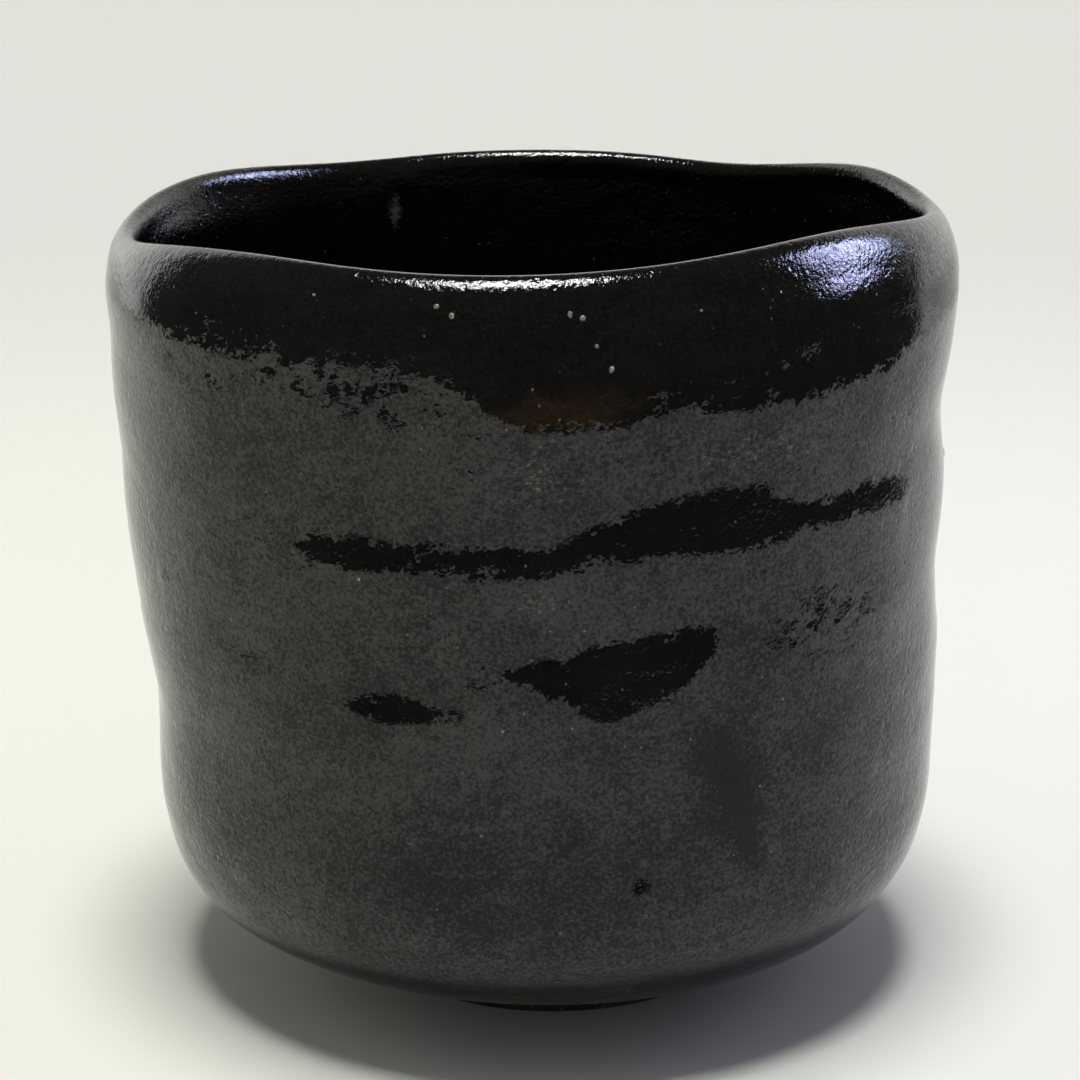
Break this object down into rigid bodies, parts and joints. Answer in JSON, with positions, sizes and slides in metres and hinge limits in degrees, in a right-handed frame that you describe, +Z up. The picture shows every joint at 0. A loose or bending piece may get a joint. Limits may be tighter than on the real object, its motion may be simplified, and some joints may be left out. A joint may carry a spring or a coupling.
{
  "type": "matcha bowl",
  "caption": "Hand-formed tall tea bowl with softly dented walls, an incurved wavy lip and a low foot ring, under a thick gloss black glaze.",
  "frame": {"origin": "on the table, under the middle of the bowl's bounding box", "axes": "+Z up out of the bowl's mouth, -Y towards the side that faces the viewer, +X to that viewer's right"},
  "size_m": [0.1045, 0.103, 0.0995],
  "materials": {
    "black_glaze": "gloss black glaze with a fine pitted skin, faint russet where it runs thin",
    "fired_clay": "bare smoked dark clay, gritty and matte"
  },
  "bodies": {
    "root": {"clay_body": "fired_clay", "foot_ring": "fired_clay", "outer_glaze": "black_glaze", "inner_glaze": "black_glaze", "recess_glaze": "black_glaze"}
  },
  "joints": []
}
